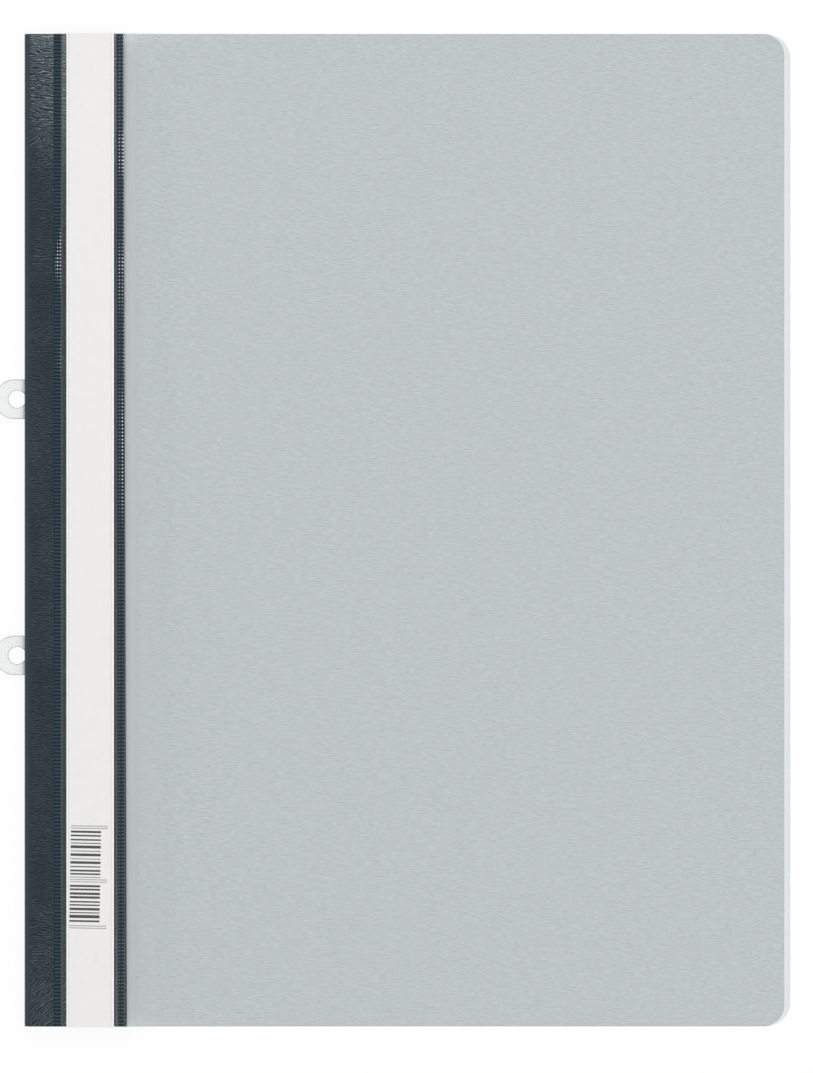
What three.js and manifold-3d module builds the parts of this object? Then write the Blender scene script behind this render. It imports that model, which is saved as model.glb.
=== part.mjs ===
// Clear view folder for oversize A4 sheets, closed and lying on its back.
// A grey back cover and a clear front cover are welded to one grained spine film. The film is
// folded round the spine and carries a label pocket on the front. A clear filing strip lies inside
// the fold, with two eyelet tabs that reach out of it for a ring binder, and holds the prong
// fastener. Millimetres. +Z is up and out of the front cover, +Y runs up the spine, and +X runs
// from the spine to the free edge. The pieces are modelled with x = 0 at the outside of the fold,
// and the whole group is then centred on its own length.

import * as THREE from "three";
import { mergeVertices } from "three/addons/utils/BufferGeometryUtils.js";
import Module from "manifold-3d";

const wasm = await Module();
wasm.setup();

// Covers
const FOLDER_HEIGHT = 310;
const FRONT_COVER_REACH = 239.1; // outside of the fold to the free edge
const BACK_COVER_REACH = 237.3;
const FRONT_COVER_THICKNESS = 0.2;
const BACK_COVER_THICKNESS = 0.3;
const FRONT_CORNER_RADIUS = 7.8;
const BACK_CORNER_RADIUS = 6.6;
const BACK_COVER_START = 3; // the back cover's hidden edge, inside the fold
const FRONT_COVER_SLOPE = 56; // run over which the front cover comes down on the back cover
const BACK_COVER_SLOPE = 12; // run over which the back cover comes down on the table
const COVER_SLOPE_STEPS = 14;

// Spine film
const SPINE_FILM_THICKNESS = 0.4;
const SPINE_FILM_SHORT = 0.25; // the film ends this far inside the covers' head and foot
const FILM_EDGE_MARGIN = 0.4; // film left outside the last weld
const HINGE_SLIT = 0.3; // open line between the fold and the front leg, which turns beside it

// Label pocket and its weld seams
const LABEL_WIDTH = 15;
const LABEL_THICKNESS = 0.25;
const LABEL_LEFT_PLAY = 1.4;
const LABEL_RIGHT_PLAY = 0.9;
const WINDOW_THICKNESS = 0.15;
const WINDOW_EDGE_MARGIN = 0.75; // window left outside the right seam
const WINDOW_RAMP = 0.6; // run of the window's step from a seam up over the label
const LEFT_SEAM_START = 9.2;
const SEAM_WIDTH = 2.3;
const SEAM_SINK = 0.12; // how far the electrode presses a seam into the film
const RIB_PITCH = 1.13;
const RIB_RISE = 0.1;
const RIB_END_MARGIN = 0.35; // plain film at both ends of a rib
const SEAM_SHOULDER = 0.3; // run kept for the window's bends at a seam's edges

// Filing strip and its tabs
const HOLE_SPACING = 80; // ring and prong spacing of two-hole filing
const FILING_OFFSET = 0.9; // the holes' middle above the folder's middle
const STRIP_THICKNESS = 0.5;
const STRIP_START = 2.4;
const STRIP_END = 27;
const STRIP_HEIGHT = 150;
const STRIP_CORNER_RADIUS = 3;
const TAB_WIDTH = 12.3;
const TAB_REACH = 9.3;
const TAB_END_RADIUS = 6;
const HOLE_DIAMETER = 5.5;
const HOLE_OUT = 2.4; // hole centre outside the fold
const TAB_SLOT_PLAY = 0.2; // round each tab in its slot through the fold

// Prong fastener
const PRONG_X = 15;
const BAND_WIDTH = 5.5;
const BAND_THICKNESS = 0.3;
const BAND_BEND_RADIUS = 0.45; // at the band's middle line
const PRONG_FOLDED = 36; // length of each prong that lies folded on the bar
const PRONG_TIP_RADIUS = 2.4;
const PRONG_SLOT_PLAY = 0.3;
const CHANNEL_PLAY = 0.8; // beside the band, under the filing strip
const CHANNEL_RAMP = 0.5;
const BAR_WIDTH = 12.5;
const BAR_END = 14; // bar past each prong
const BAR_FLOOR = 0.6;
const BAR_RIM_WIDTH = 1.1;
const BAR_RIM_RISE = 0.6;
const BAR_CORNER_RADIUS = 3;

// Gaps
const FILM_GAP = 0.03; // between two sheets that lie on each other
const CLOSED_CLEARANCE = 0.35; // between the bar and the front cover
const CUT_PAST = 1; // cutters run this far past what they cut
const ARC_STEPS = 6; // for a quarter circle
const SAME_POINT = 1e-6;

// Levels above the table, from the back film up to the front of the folder
const backCoverInSpine = SPINE_FILM_THICKNESS + FILM_GAP;
const stripBottom = backCoverInSpine + BACK_COVER_THICKNESS + FILM_GAP;
const bandTop = stripBottom + BAND_THICKNESS;
const channelBottom = bandTop + FILM_GAP;
const barBottom = channelBottom + STRIP_THICKNESS + FILM_GAP;
const barFloorTop = barBottom + BAR_FLOOR;
const prongBottom = barFloorTop + FILM_GAP;
const barTop = Math.max(barFloorTop + BAR_RIM_RISE, prongBottom + BAND_THICKNESS);
const frontCoverInSpine = barTop + CLOSED_CLEARANCE;
const frontFilmBottom = frontCoverInSpine + FRONT_COVER_THICKNESS + FILM_GAP;
const frontFilmTop = frontFilmBottom + SPINE_FILM_THICKNESS;
const seamFloor = frontFilmTop - SEAM_SINK;
const windowOverLabel = frontFilmTop + LABEL_THICKNESS + 2 * FILM_GAP;
const frontCoverOnBack = BACK_COVER_THICKNESS + FILM_GAP;

// Places across and along the spine
const spineFilmHeight = FOLDER_HEIGHT - 2 * SPINE_FILM_SHORT;
const foldRadius = frontFilmTop / 2;
const leftSeamEnd = LEFT_SEAM_START + SEAM_WIDTH;
const labelStart = leftSeamEnd + LABEL_LEFT_PLAY;
const rightSeamStart = labelStart + LABEL_WIDTH + LABEL_RIGHT_PLAY;
const rightSeamEnd = rightSeamStart + SEAM_WIDTH;
const spineFilmEdge = rightSeamEnd + FILM_EDGE_MARGIN;
const windowEdge = rightSeamEnd + WINDOW_EDGE_MARGIN;
const holeHeights = [-1, 1].map((side) => FILING_OFFSET + (side * HOLE_SPACING) / 2);

// A closed geometry as a solid that can be cut and joined.
function solidFrom(geometry) {
  const bare = geometry.index ? geometry.toNonIndexed() : geometry.clone();
  bare.deleteAttribute("normal");
  bare.deleteAttribute("uv");
  const merged = mergeVertices(bare, 1e-4);
  return new wasm.Manifold(
    new wasm.Mesh({
      numProp: 3,
      vertProperties: merged.getAttribute("position").array,
      triVerts: new Uint32Array(merged.index.array),
    }),
  );
}

function geometryFrom(solid) {
  const mesh = solid.getMesh();
  const geometry = new THREE.BufferGeometry();
  geometry.setAttribute("position", new THREE.BufferAttribute(mesh.vertProperties, 3));
  geometry.setIndex(new THREE.BufferAttribute(mesh.triVerts, 1));
  geometry.computeVertexNormals();
  return geometry;
}

// An outline drawn in X and Z, carried along Y and centred on middle.
function alongHeight(outline, height, middle = 0) {
  const geometry = new THREE.ExtrudeGeometry(outline, { depth: height, bevelEnabled: false });
  geometry.rotateX(Math.PI / 2);
  geometry.translate(0, middle + height / 2, 0);
  return solidFrom(geometry);
}

// An outline drawn in X and Y, carried up from bottom to top.
function upwards(outline, bottom, top) {
  const settings = { depth: top - bottom, bevelEnabled: false, curveSegments: ARC_STEPS };
  const geometry = new THREE.ExtrudeGeometry(outline, settings);
  geometry.translate(0, 0, bottom);
  return solidFrom(geometry);
}

function box(x0, x1, y0, y1, z0, z1) {
  const geometry = new THREE.BoxGeometry(x1 - x0, y1 - y0, z1 - z0);
  geometry.translate((x0 + x1) / 2, (y0 + y1) / 2, (z0 + z1) / 2);
  return solidFrom(geometry);
}

// An outline drawn in Y and Z, carried along X from x0 to x1.
function acrossSpine(outline, x0, x1) {
  const geometry = new THREE.ExtrudeGeometry(outline, { depth: x1 - x0, bevelEnabled: false });
  geometry.rotateX(Math.PI / 2);
  geometry.rotateZ(Math.PI / 2);
  geometry.translate(x0, 0, 0);
  return solidFrom(geometry);
}

// The outline of a sheet that follows an open path, half its thickness on either side.
function sheetOutline(path, thickness) {
  const drawn = path.getPoints(ARC_STEPS);
  const points = drawn.filter((point, i) => i === 0 || point.distanceTo(drawn[i - 1]) > SAME_POINT);
  const last = points.length - 1;
  const offsets = points.map((point, i) => {
    const before = point.clone().sub(points[Math.max(i - 1, 0)]);
    const after = points[Math.min(i + 1, last)].clone().sub(point);
    const into = (i > 0 ? before : after).clone().normalize();
    const out = (i < last ? after : before).clone().normalize();
    const mitre = into.clone().add(out).normalize();
    const reach = thickness / 2 / mitre.dot(out);
    return new THREE.Vector2(-mitre.y, mitre.x).multiplyScalar(reach);
  });
  const left = points.map((point, i) => point.clone().add(offsets[i]));
  const right = points.map((point, i) => point.clone().sub(offsets[i]));
  return new THREE.Shape([...right, ...left.reverse()]);
}

// A rectangle in X and Y whose two corners at the high end of X are rounded.
function coverOutline(x0, x1, height, radius) {
  const top = height / 2;
  const outline = new THREE.Shape();
  outline.moveTo(x0, -top);
  outline.lineTo(x1 - radius, -top);
  outline.absarc(x1 - radius, radius - top, radius, -Math.PI / 2, 0, false);
  outline.lineTo(x1, top - radius);
  outline.absarc(x1 - radius, top - radius, radius, 0, Math.PI / 2, false);
  outline.lineTo(x0, top);
  outline.closePath();
  return outline;
}

// A rectangle in X and Y with all its corners rounded.
function roundedOutline(x0, x1, y0, y1, radius) {
  const outline = new THREE.Shape();
  outline.moveTo(x0 + radius, y0);
  outline.absarc(x1 - radius, y0 + radius, radius, -Math.PI / 2, 0, false);
  outline.absarc(x1 - radius, y1 - radius, radius, 0, Math.PI / 2, false);
  outline.absarc(x0 + radius, y1 - radius, radius, Math.PI / 2, Math.PI, false);
  outline.absarc(x0 + radius, y0 + radius, radius, Math.PI, 1.5 * Math.PI, false);
  return outline;
}

// A cover sheet: level at the spine, then eased down to the level on which it lies.
function coverSheet({ start, reach, slopeStart, slope, high, low, thickness, radius }) {
  const outline = new THREE.Shape();
  const level = (share) => low + (high - low) * (1 - share * share * (3 - 2 * share));
  const shares = Array.from({ length: COVER_SLOPE_STEPS + 1 }, (_, i) => i / COVER_SLOPE_STEPS);
  outline.moveTo(start, high);
  shares.forEach((share) => outline.lineTo(slopeStart + share * slope, level(share)));
  outline.lineTo(reach, low);
  outline.lineTo(reach, low + thickness);
  shares
    .reverse()
    .forEach((share) => outline.lineTo(slopeStart + share * slope, level(share) + thickness));
  outline.lineTo(start, high + thickness);
  const sheet = alongHeight(outline, FOLDER_HEIGHT);
  const trim = coverOutline(start, reach, FOLDER_HEIGHT, radius);
  return sheet.intersect(upwards(trim, low - CUT_PAST, high + thickness + CUT_PAST));
}

// The cross ribs that a knurled electrode leaves in a weld: a row of ridges along Y that stands
// on the level base and is rooted below it.
function seamRibs(x0, x1, base, root) {
  const count = Math.floor((spineFilmHeight - RIB_PITCH) / RIB_PITCH);
  const half = (count * RIB_PITCH) / 2;
  const outline = new THREE.Shape();
  outline.moveTo(-half, base - root);
  outline.lineTo(-half, base);
  for (let i = 0; i < count; i += 1) {
    outline.lineTo((i + 0.5) * RIB_PITCH - half, base + RIB_RISE);
    outline.lineTo((i + 1) * RIB_PITCH - half, base);
  }
  outline.lineTo(half, base - root);
  return acrossSpine(outline, x0, x1);
}

function backCover() {
  return coverSheet({
    start: BACK_COVER_START,
    reach: BACK_COVER_REACH,
    slopeStart: spineFilmEdge + FILM_EDGE_MARGIN,
    slope: BACK_COVER_SLOPE,
    high: backCoverInSpine,
    low: 0,
    thickness: BACK_COVER_THICKNESS,
    radius: BACK_CORNER_RADIUS,
  });
}

function frontCover() {
  return coverSheet({
    start: LEFT_SEAM_START,
    reach: FRONT_COVER_REACH,
    slopeStart: windowEdge,
    slope: FRONT_COVER_SLOPE,
    high: frontCoverInSpine,
    low: frontCoverOnBack,
    thickness: FRONT_COVER_THICKNESS,
    radius: FRONT_CORNER_RADIUS,
  });
}

// The film's back leg and the fold, with a slot for each tab and the groove of the back weld.
function spineFilmBack() {
  const half = SPINE_FILM_THICKNESS / 2;
  const path = new THREE.Path();
  path.moveTo(spineFilmEdge, half);
  path.lineTo(foldRadius, half);
  path.absarc(foldRadius, foldRadius, foldRadius - half, -Math.PI / 2, Math.PI / 2, true);
  let film = alongHeight(sheetOutline(path, SPINE_FILM_THICKNESS), spineFilmHeight);
  const reach = TAB_WIDTH / 2 + TAB_SLOT_PLAY;
  const low = stripBottom - TAB_SLOT_PLAY / 2;
  const high = stripBottom + STRIP_THICKNESS + TAB_SLOT_PLAY;
  for (const y of holeHeights) {
    film = film.subtract(box(-CUT_PAST, foldRadius, y - reach, y + reach, low, high));
  }
  const past = spineFilmHeight / 2 + CUT_PAST;
  return film.subtract(box(rightSeamStart, rightSeamEnd, -past, past, -CUT_PAST, SEAM_SINK));
}

// The film's front leg, with the two troughs that the pocket's welds press into it.
function spineFilmFront() {
  const y = spineFilmHeight / 2;
  const past = y + CUT_PAST;
  const above = frontFilmTop + CUT_PAST;
  return box(foldRadius + HINGE_SLIT, spineFilmEdge, -y, y, frontFilmBottom, frontFilmTop)
    .subtract(box(LEFT_SEAM_START, leftSeamEnd, -past, past, seamFloor, above))
    .subtract(box(rightSeamStart, rightSeamEnd, -past, past, seamFloor, above));
}

// The pocket's window: sunk and ribbed in the two seams, and level over the label between them.
function labelWindow() {
  const half = WINDOW_THICKNESS / 2;
  const sunk = seamFloor + FILM_GAP + half;
  const raised = windowOverLabel + half;
  const edgeLevel = frontFilmTop + FILM_GAP + half;
  const path = new THREE.Path();
  path.moveTo(LEFT_SEAM_START + FILM_GAP, sunk);
  path.lineTo(leftSeamEnd - SEAM_SHOULDER, sunk);
  path.lineTo(leftSeamEnd + WINDOW_RAMP, raised);
  path.lineTo(rightSeamStart - WINDOW_RAMP, raised);
  path.lineTo(rightSeamStart + SEAM_SHOULDER, sunk);
  path.lineTo(rightSeamEnd - SEAM_SHOULDER, sunk);
  path.lineTo(rightSeamEnd - half, edgeLevel);
  path.lineTo(windowEdge, edgeLevel);
  const film = alongHeight(sheetOutline(path, WINDOW_THICKNESS), FOLDER_HEIGHT);
  const ribs = (x0, x1) => seamRibs(x0 + RIB_END_MARGIN, x1 - RIB_END_MARGIN, sunk + half, half);
  return film.add(ribs(LEFT_SEAM_START, leftSeamEnd)).add(ribs(rightSeamStart, rightSeamEnd));
}

function labelInsert() {
  const y = FOLDER_HEIGHT / 2;
  const bottom = frontFilmTop + FILM_GAP;
  return box(labelStart, labelStart + LABEL_WIDTH, -y, y, bottom, bottom + LABEL_THICKNESS);
}

// The outline of an eyelet hole, drawn as two half circles.
function roundHole(x, y) {
  const hole = new THREE.Shape();
  hole.absarc(x, y, HOLE_DIAMETER / 2, 0, Math.PI, false);
  hole.absarc(x, y, HOLE_DIAMETER / 2, Math.PI, 2 * Math.PI, false);
  return hole;
}

// The slots that the two prongs pass, through whatever lies between the levels.
function prongSlots(low, high) {
  const across = BAND_WIDTH / 2 + PRONG_SLOT_PLAY;
  const along = BAND_BEND_RADIUS + BAND_THICKNESS / 2 + PRONG_SLOT_PLAY;
  const slot = (y) => box(PRONG_X - across, PRONG_X + across, y - along, y + along, low, high);
  return slot(holeHeights[0]).add(slot(holeHeights[1]));
}

// The strip runs flat out of the fold into its two tabs, and over the fastener's band in a channel.
function filingStrip() {
  const half = STRIP_THICKNESS / 2;
  const flat = stripBottom + half;
  const raised = channelBottom + half;
  const channel = BAND_WIDTH / 2 + CHANNEL_PLAY;
  const path = new THREE.Path();
  path.moveTo(-TAB_REACH - CUT_PAST, flat);
  path.lineTo(PRONG_X - channel - CHANNEL_RAMP, flat);
  path.lineTo(PRONG_X - channel, raised);
  path.lineTo(PRONG_X + channel, raised);
  path.lineTo(PRONG_X + channel + CHANNEL_RAMP, flat);
  path.lineTo(STRIP_END + CUT_PAST, flat);
  const height = STRIP_HEIGHT + 2 * CUT_PAST;
  const sheet = alongHeight(sheetOutline(path, STRIP_THICKNESS), height, FILING_OFFSET);

  const low = stripBottom - CUT_PAST;
  const high = channelBottom + STRIP_THICKNESS + CUT_PAST;
  const bodyEnd = STRIP_HEIGHT / 2;
  const bodyTop = FILING_OFFSET + bodyEnd;
  const bodyFoot = FILING_OFFSET - bodyEnd;
  const bodyOutline = roundedOutline(STRIP_START, STRIP_END, bodyFoot, bodyTop, STRIP_CORNER_RADIUS);
  let trim = upwards(bodyOutline, low, high);
  for (const y of holeHeights) {
    const tabFoot = y - TAB_WIDTH / 2;
    const tabTop = y + TAB_WIDTH / 2;
    const tabRoot = STRIP_START + TAB_WIDTH;
    const tabOutline = roundedOutline(-TAB_REACH, tabRoot, tabFoot, tabTop, TAB_END_RADIUS);
    trim = trim.add(upwards(tabOutline, low, high));
  }
  for (const y of holeHeights) {
    trim = trim.subtract(upwards(roundHole(-HOLE_OUT, y), low - CUT_PAST, high + CUT_PAST));
  }
  return sheet.intersect(trim).subtract(prongSlots(low, high));
}

// One metal band: flat between the prongs, which rise through strip and bar and fold inwards.
function prongBand() {
  const half = BAND_THICKNESS / 2;
  const low = stripBottom + half;
  const high = prongBottom + half;
  const bend = BAND_BEND_RADIUS;
  const [foot, head] = holeHeights;
  const path = new THREE.Path();
  path.moveTo(foot + PRONG_FOLDED, high);
  path.lineTo(foot + bend, high);
  path.absarc(foot + bend, high - bend, bend, Math.PI / 2, Math.PI, false);
  path.lineTo(foot, low + bend);
  path.absarc(foot + bend, low + bend, bend, Math.PI, 1.5 * Math.PI, false);
  path.lineTo(head - bend, low);
  path.absarc(head - bend, low + bend, bend, -Math.PI / 2, 0, false);
  path.lineTo(head, high - bend);
  path.absarc(head - bend, high - bend, bend, 0, Math.PI / 2, false);
  path.lineTo(head - PRONG_FOLDED, high);
  const x0 = PRONG_X - BAND_WIDTH / 2;
  const x1 = PRONG_X + BAND_WIDTH / 2;
  const band = acrossSpine(sheetOutline(path, BAND_THICKNESS), x0, x1);

  const past = 2 * PRONG_TIP_RADIUS;
  const footProng = roundedOutline(x0, x1, foot - past, foot + PRONG_FOLDED, PRONG_TIP_RADIUS);
  const headProng = roundedOutline(x0, x1, head - PRONG_FOLDED, head + past, PRONG_TIP_RADIUS);
  const keep = box(x0, x1, foot - past, head + past, 0, barFloorTop)
    .add(upwards(footProng, barFloorTop, barTop + CUT_PAST))
    .add(upwards(headProng, barFloorTop, barTop + CUT_PAST));
  return band.intersect(keep);
}

// The bar that presses the papers down: a shallow tray in whose floor the folded prongs lie.
function prongCoverBar() {
  const x0 = PRONG_X - BAR_WIDTH / 2;
  const x1 = PRONG_X + BAR_WIDTH / 2;
  const y0 = holeHeights[0] - BAR_END;
  const y1 = holeHeights[1] + BAR_END;
  const rim = BAR_RIM_WIDTH;
  const hollowRadius = BAR_CORNER_RADIUS - rim / 2;
  const hollow = roundedOutline(x0 + rim, x1 - rim, y0 + rim, y1 - rim, hollowRadius);
  return upwards(roundedOutline(x0, x1, y0, y1, BAR_CORNER_RADIUS), barBottom, barTop)
    .subtract(upwards(hollow, barFloorTop, barTop + CUT_PAST))
    .subtract(prongSlots(barBottom - CUT_PAST, barTop + CUT_PAST));
}

const colours = {
  spineFilm: 0x2e3d44,
  greyCover: 0xc0c6c6,
  clearFilm: 0xdfe6e9,
  paper: 0xebeae8,
  steel: 0xb9bcbe,
  bar: 0xd9dcdc,
};

function plastic(colour, roughness, opacity = 1) {
  const transparent = opacity < 1;
  return new THREE.MeshStandardMaterial({ color: colour, roughness, metalness: 0, transparent, opacity });
}

const pieces = {
  back_cover: [backCover(), plastic(colours.greyCover, 0.45)],
  spine_film_back: [spineFilmBack(), plastic(colours.spineFilm, 0.4)],
  filing_strip: [filingStrip(), plastic(colours.clearFilm, 0.2, 0.5)],
  prong_band: [
    prongBand(),
    new THREE.MeshStandardMaterial({ color: colours.steel, roughness: 0.3, metalness: 1 }),
  ],
  prong_cover_bar: [prongCoverBar(), plastic(colours.bar, 0.4)],
  spine_film_front: [spineFilmFront(), plastic(colours.spineFilm, 0.4)],
  label_window: [labelWindow(), plastic(colours.clearFilm, 0.1, 0.2)],
  label_insert: [labelInsert(), plastic(colours.paper, 0.9)],
  front_cover: [frontCover(), plastic(colours.clearFilm, 0.1, 0.2)],
};

const folder = new THREE.Group();
folder.name = "clear_view_folder";
for (const [name, [solid, material]] of Object.entries(pieces)) {
  const mesh = new THREE.Mesh(geometryFrom(solid), material);
  mesh.name = name;
  folder.add(mesh);
}
folder.position.x = (TAB_REACH - FRONT_COVER_REACH) / 2;

export default folder;
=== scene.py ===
"""Dresses the clear view folder: its films, label pocket, eyelet strip and prong fastener."""

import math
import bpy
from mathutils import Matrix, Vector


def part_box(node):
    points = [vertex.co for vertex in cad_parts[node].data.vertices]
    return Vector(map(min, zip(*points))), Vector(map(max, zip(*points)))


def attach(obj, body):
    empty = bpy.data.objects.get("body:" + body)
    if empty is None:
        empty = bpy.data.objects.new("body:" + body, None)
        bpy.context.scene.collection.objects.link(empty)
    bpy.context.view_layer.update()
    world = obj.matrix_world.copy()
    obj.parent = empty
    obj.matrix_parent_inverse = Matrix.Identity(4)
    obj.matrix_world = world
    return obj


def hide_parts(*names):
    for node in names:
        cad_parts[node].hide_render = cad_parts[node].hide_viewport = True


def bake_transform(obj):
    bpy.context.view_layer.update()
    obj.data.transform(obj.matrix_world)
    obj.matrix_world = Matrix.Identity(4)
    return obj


bl_info = {
    "name": "Clear View Folder",
    "version": (1, 0, 0),
    "blender": (4, 5, 0),
    "location": "View3D > Sidebar > Folder",
    "description": "Builds the films, label pocket and filing parts of a clear view folder",
    "category": "Add Mesh",
}

import bmesh
import bpy
import numpy as np
from bpy.props import FloatProperty, FloatVectorProperty, IntProperty, PointerProperty

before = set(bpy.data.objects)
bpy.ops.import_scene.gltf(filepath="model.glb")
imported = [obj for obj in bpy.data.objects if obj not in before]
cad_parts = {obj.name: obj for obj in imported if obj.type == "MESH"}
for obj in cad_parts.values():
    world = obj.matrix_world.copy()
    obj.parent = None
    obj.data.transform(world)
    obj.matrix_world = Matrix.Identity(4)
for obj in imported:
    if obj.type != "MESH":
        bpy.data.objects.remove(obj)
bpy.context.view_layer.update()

MM = 0.001

# Distances in metres across the spine, from the outside of the fold
LEFT_SEAM = (9.2 * MM, 11.5 * MM)
RIGHT_SEAM = (29.2 * MM, 31.1 * MM)

# Eyelet tabs, in metres: the holes' spacing, how far they stand out of the fold, the hole's
# radius, the middle and radius of the tab's round end, and half of a slot in the film
HOLE_SPACING = 80 * MM
HOLE_OUT = 2.4 * MM
HOLE_RADIUS = 2.75 * MM
TAB_END_OUT = 3.3 * MM
TAB_END_RADIUS = 6 * MM
SLOT_HALF = 6.35 * MM

# Print on the label in mm: width of the narrowest bar, and the field of the bars as distances
# from the fold and from the folder's middle
BAR_MODULE = 0.345
BARS_ACROSS = (14.1, 23.5)
BARS_ALONG = (-121.9, -92.9)
BARS_GAP = (-110.0, -107.9)
GUARDS_ACROSS = (14.1, 25.6)
GUARDS = (-92.0, -92.7, -108.7, -109.4, -123.1, -123.8)
GUARD_WIDTH = 0.3

# The print stands askew: its shift in mm, the height about which it turns, and the turn of its
# two directions in radians
PRINT_SHIFT = 0.25
PRINT_MIDDLE = -108.0
PRINT_TURN = (-0.017, 0.02)

# Each soft lamp's name, place and width, in metres
LAMPS = (("lamp_head", (-0.5, 1.5, 1.3), 0.7), ("lamp_side", (1.3, -0.7, 1.5), 0.9))

# Window in mm from the fold: its two painted highlights where the film bends over the label's
# edges, and the stretch over the label, which stays clear
LABEL_EDGE_HIGHLIGHTS = ((13.3, 13.7), (27.5, 27.95))
OVER_LABEL = (12.9, 28.2)

# Half the width in mm of a lit column on the ribs
GLINT_HALF = 0.14

# Columns of ribs that catch the light: distance from the fold, least strength, and stretches
# with their middle, half length and strength. All lengths are in mm.
GLINTS = (
    (9.9, 0.03, ((82.0, 4.5, 0.3),)),
    (10.45, 0.05, ((84.0, 7.0, 1.0), (54.0, 6.0, 0.1))),
    (11.3, 0.06, ((85.0, 11.0, 1.0), (54.0, 7.0, 0.35))),
    (29.7, 0.12, ((135.0, 18.0, 0.15), (118.0, 8.0, 0.6), (79.0, 12.0, 0.6), (26.0, 22.0, 0.1))),
    (30.65, 0.1, ((135.0, 20.0, 0.05), (118.0, 8.0, 1.0), (79.0, 13.0, 0.8), (24.0, 25.0, 1.0))),
    (31.05, 0.08, ((139.0, 22.0, 0.35), (118.0, 8.0, 0.9), (96.0, 20.0, 0.4), (58.0, 14.0, 0.4))),
)

# Where the film's grain changes, in mm from the folder's middle: the painted highlight on its
# ridges stands out past the head and foot marks, and the grain rises to the right round one mark
# and below the other
GRAIN_HEAD = 106.0
GRAIN_FOOT = -112.0
RISING_ROUND = 122.0
RISING_BELOW = -132.0

# Mesh of a cover: distance between its plain rows, steps in each corner, and points across it
# under the spine, on the slope, on the flat and in the corner
COVER_ROW = 5 * MM
CORNER_STEPS = 24
COVER_POINTS = (12, 33, 24, 11)

# Points across the film on its back leg, round the fold and on its front leg
FILM_POINTS = (25, 37, 61)

# Places that the frame gives, in metres
FILM_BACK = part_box("spine_film_back")
FILM_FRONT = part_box("spine_film_front")
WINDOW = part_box("label_window")
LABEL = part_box("label_insert")
FRONT_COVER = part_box("front_cover")
BACK_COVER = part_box("back_cover")
FOLD_X = FILM_BACK[0].x
FOLD_RADIUS = FILM_FRONT[1].z / 2
FILM_THICKNESS = FILM_FRONT[1].z - FILM_FRONT[0].z
FILM_EDGE_X = FILM_FRONT[1].x
FILM_HALF_HEIGHT = FILM_FRONT[1].y
HALF_HEIGHT = FRONT_COVER[1].y


def colour(name, default, description):
    """A setting for a colour."""
    return FloatVectorProperty(
        name=name, description=description, subtype="COLOR", size=3, min=0, max=1, default=default
    )


def length(name, default, description):
    """A setting for a length, kept in metres."""
    return FloatProperty(
        name=name, description=description, subtype="DISTANCE", unit="LENGTH", default=default
    )


class CoverSettings(bpy.types.PropertyGroup):
    """Sizes and colours of the two cover sheets."""

    grey: colour("Grey", (0.574, 0.607, 0.602), "Colour of the grey back cover")
    grey_corner: length("Grey corner", 6.6 * MM, "Corner radius of the back cover")
    grey_slope: length("Grey slope", 12 * MM, "Run over which the back cover comes down")
    grey_thickness: length("Grey thickness", 0.3 * MM, "Thickness of the back cover")
    clear: colour("Clear", (0.35, 0.45, 0.53), "Tint of the clear front cover")
    clear_alpha: FloatProperty(name="Clear cover", description="Cover of the tint", default=0.045)
    clear_corner: length("Clear corner", 7.8 * MM, "Corner radius of the front cover")
    clear_slope: length("Clear slope", 56 * MM, "Run over which the front cover comes down")
    clear_thickness: length("Clear thickness", 0.2 * MM, "Thickness of the front cover")


class SpineSettings(bpy.types.PropertyGroup):
    """Sizes and colours of the folded spine film."""

    film: colour("Film", (0.012, 0.0245, 0.033), "Colour of the dark film")
    head_shift: length("Head shift", -0.6 * MM, "Shift of the film's front edge at the head")
    foot_shift: length("Foot shift", 0.5 * MM, "Shift of the film's front edge at the foot")
    # The ridge colour is a painted highlight on the grain's ridges, and a painted reflection at
    # the film's top
    ridge: colour("Ridge", (0.30, 0.355, 0.37), "Colour of the highlighted ridges of the grain")
    grain: length("Grain", 0.7 * MM, "Width of one wrinkle of the grain")


class PocketSettings(bpy.types.PropertyGroup):
    """Sizes and colours of the label pocket."""

    card: colour("Card", (0.88, 0.87, 0.855), "Colour of the label card")
    ink: colour("Ink", (0.022, 0.018, 0.019), "Colour of the plain print on the label")
    window: colour("Window", (0.42, 0.45, 0.5), "Tint of the clear window")
    window_alpha: FloatProperty(name="Window cover", description="Cover of the tint", default=0.03)
    film: length("Window film", 0.15 * MM, "Thickness of the window film")
    rib_pitch: length("Rib pitch", 1.13 * MM, "Distance between two ribs of a seam")
    rib_rise: length("Rib rise", 0.14 * MM, "Height of a rib")
    rib_rows: IntProperty(name="Rib rows", description="Mesh rows on each rib", default=8)


class FilingSettings(bpy.types.PropertyGroup):
    """Finish of the filing strip and the prong fastener."""

    strip: colour("Strip", (0.80, 0.84, 0.835), "Colour of the clear filing strip")
    strip_alpha: FloatProperty(name="Strip cover", description="Cover of the tint", default=0.3)
    steel: colour("Steel", (0.62, 0.62, 0.63), "Colour of the prong band")
    bar: colour("Bar", (0.72, 0.74, 0.74), "Colour of the prong cover bar")
    edge: length("Edge", 0.2 * MM, "Width of the rounding on the filing parts")


class StageSettings(bpy.types.PropertyGroup):
    """Camera, floor and light."""

    view_height: length("View height", 335.3 * MM, "Height of the picture at the folder")
    camera_height: length("Camera height", 1.6, "Camera above the folder")
    camera_x: length("Camera X", 4.3 * MM, "Camera to the right of the folder's middle")
    camera_y: length("Camera Y", -1.97 * MM, "Camera above the folder's middle")
    sky: FloatProperty(name="Sky", description="Strength of the light all round", default=0.85)
    zenith: FloatProperty(name="Zenith", description="Strength of the light overhead", default=0.2)
    lamp: FloatProperty(name="Lamp", description="Power of the soft lamps in watts", default=9.0)


# Meshes


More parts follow.
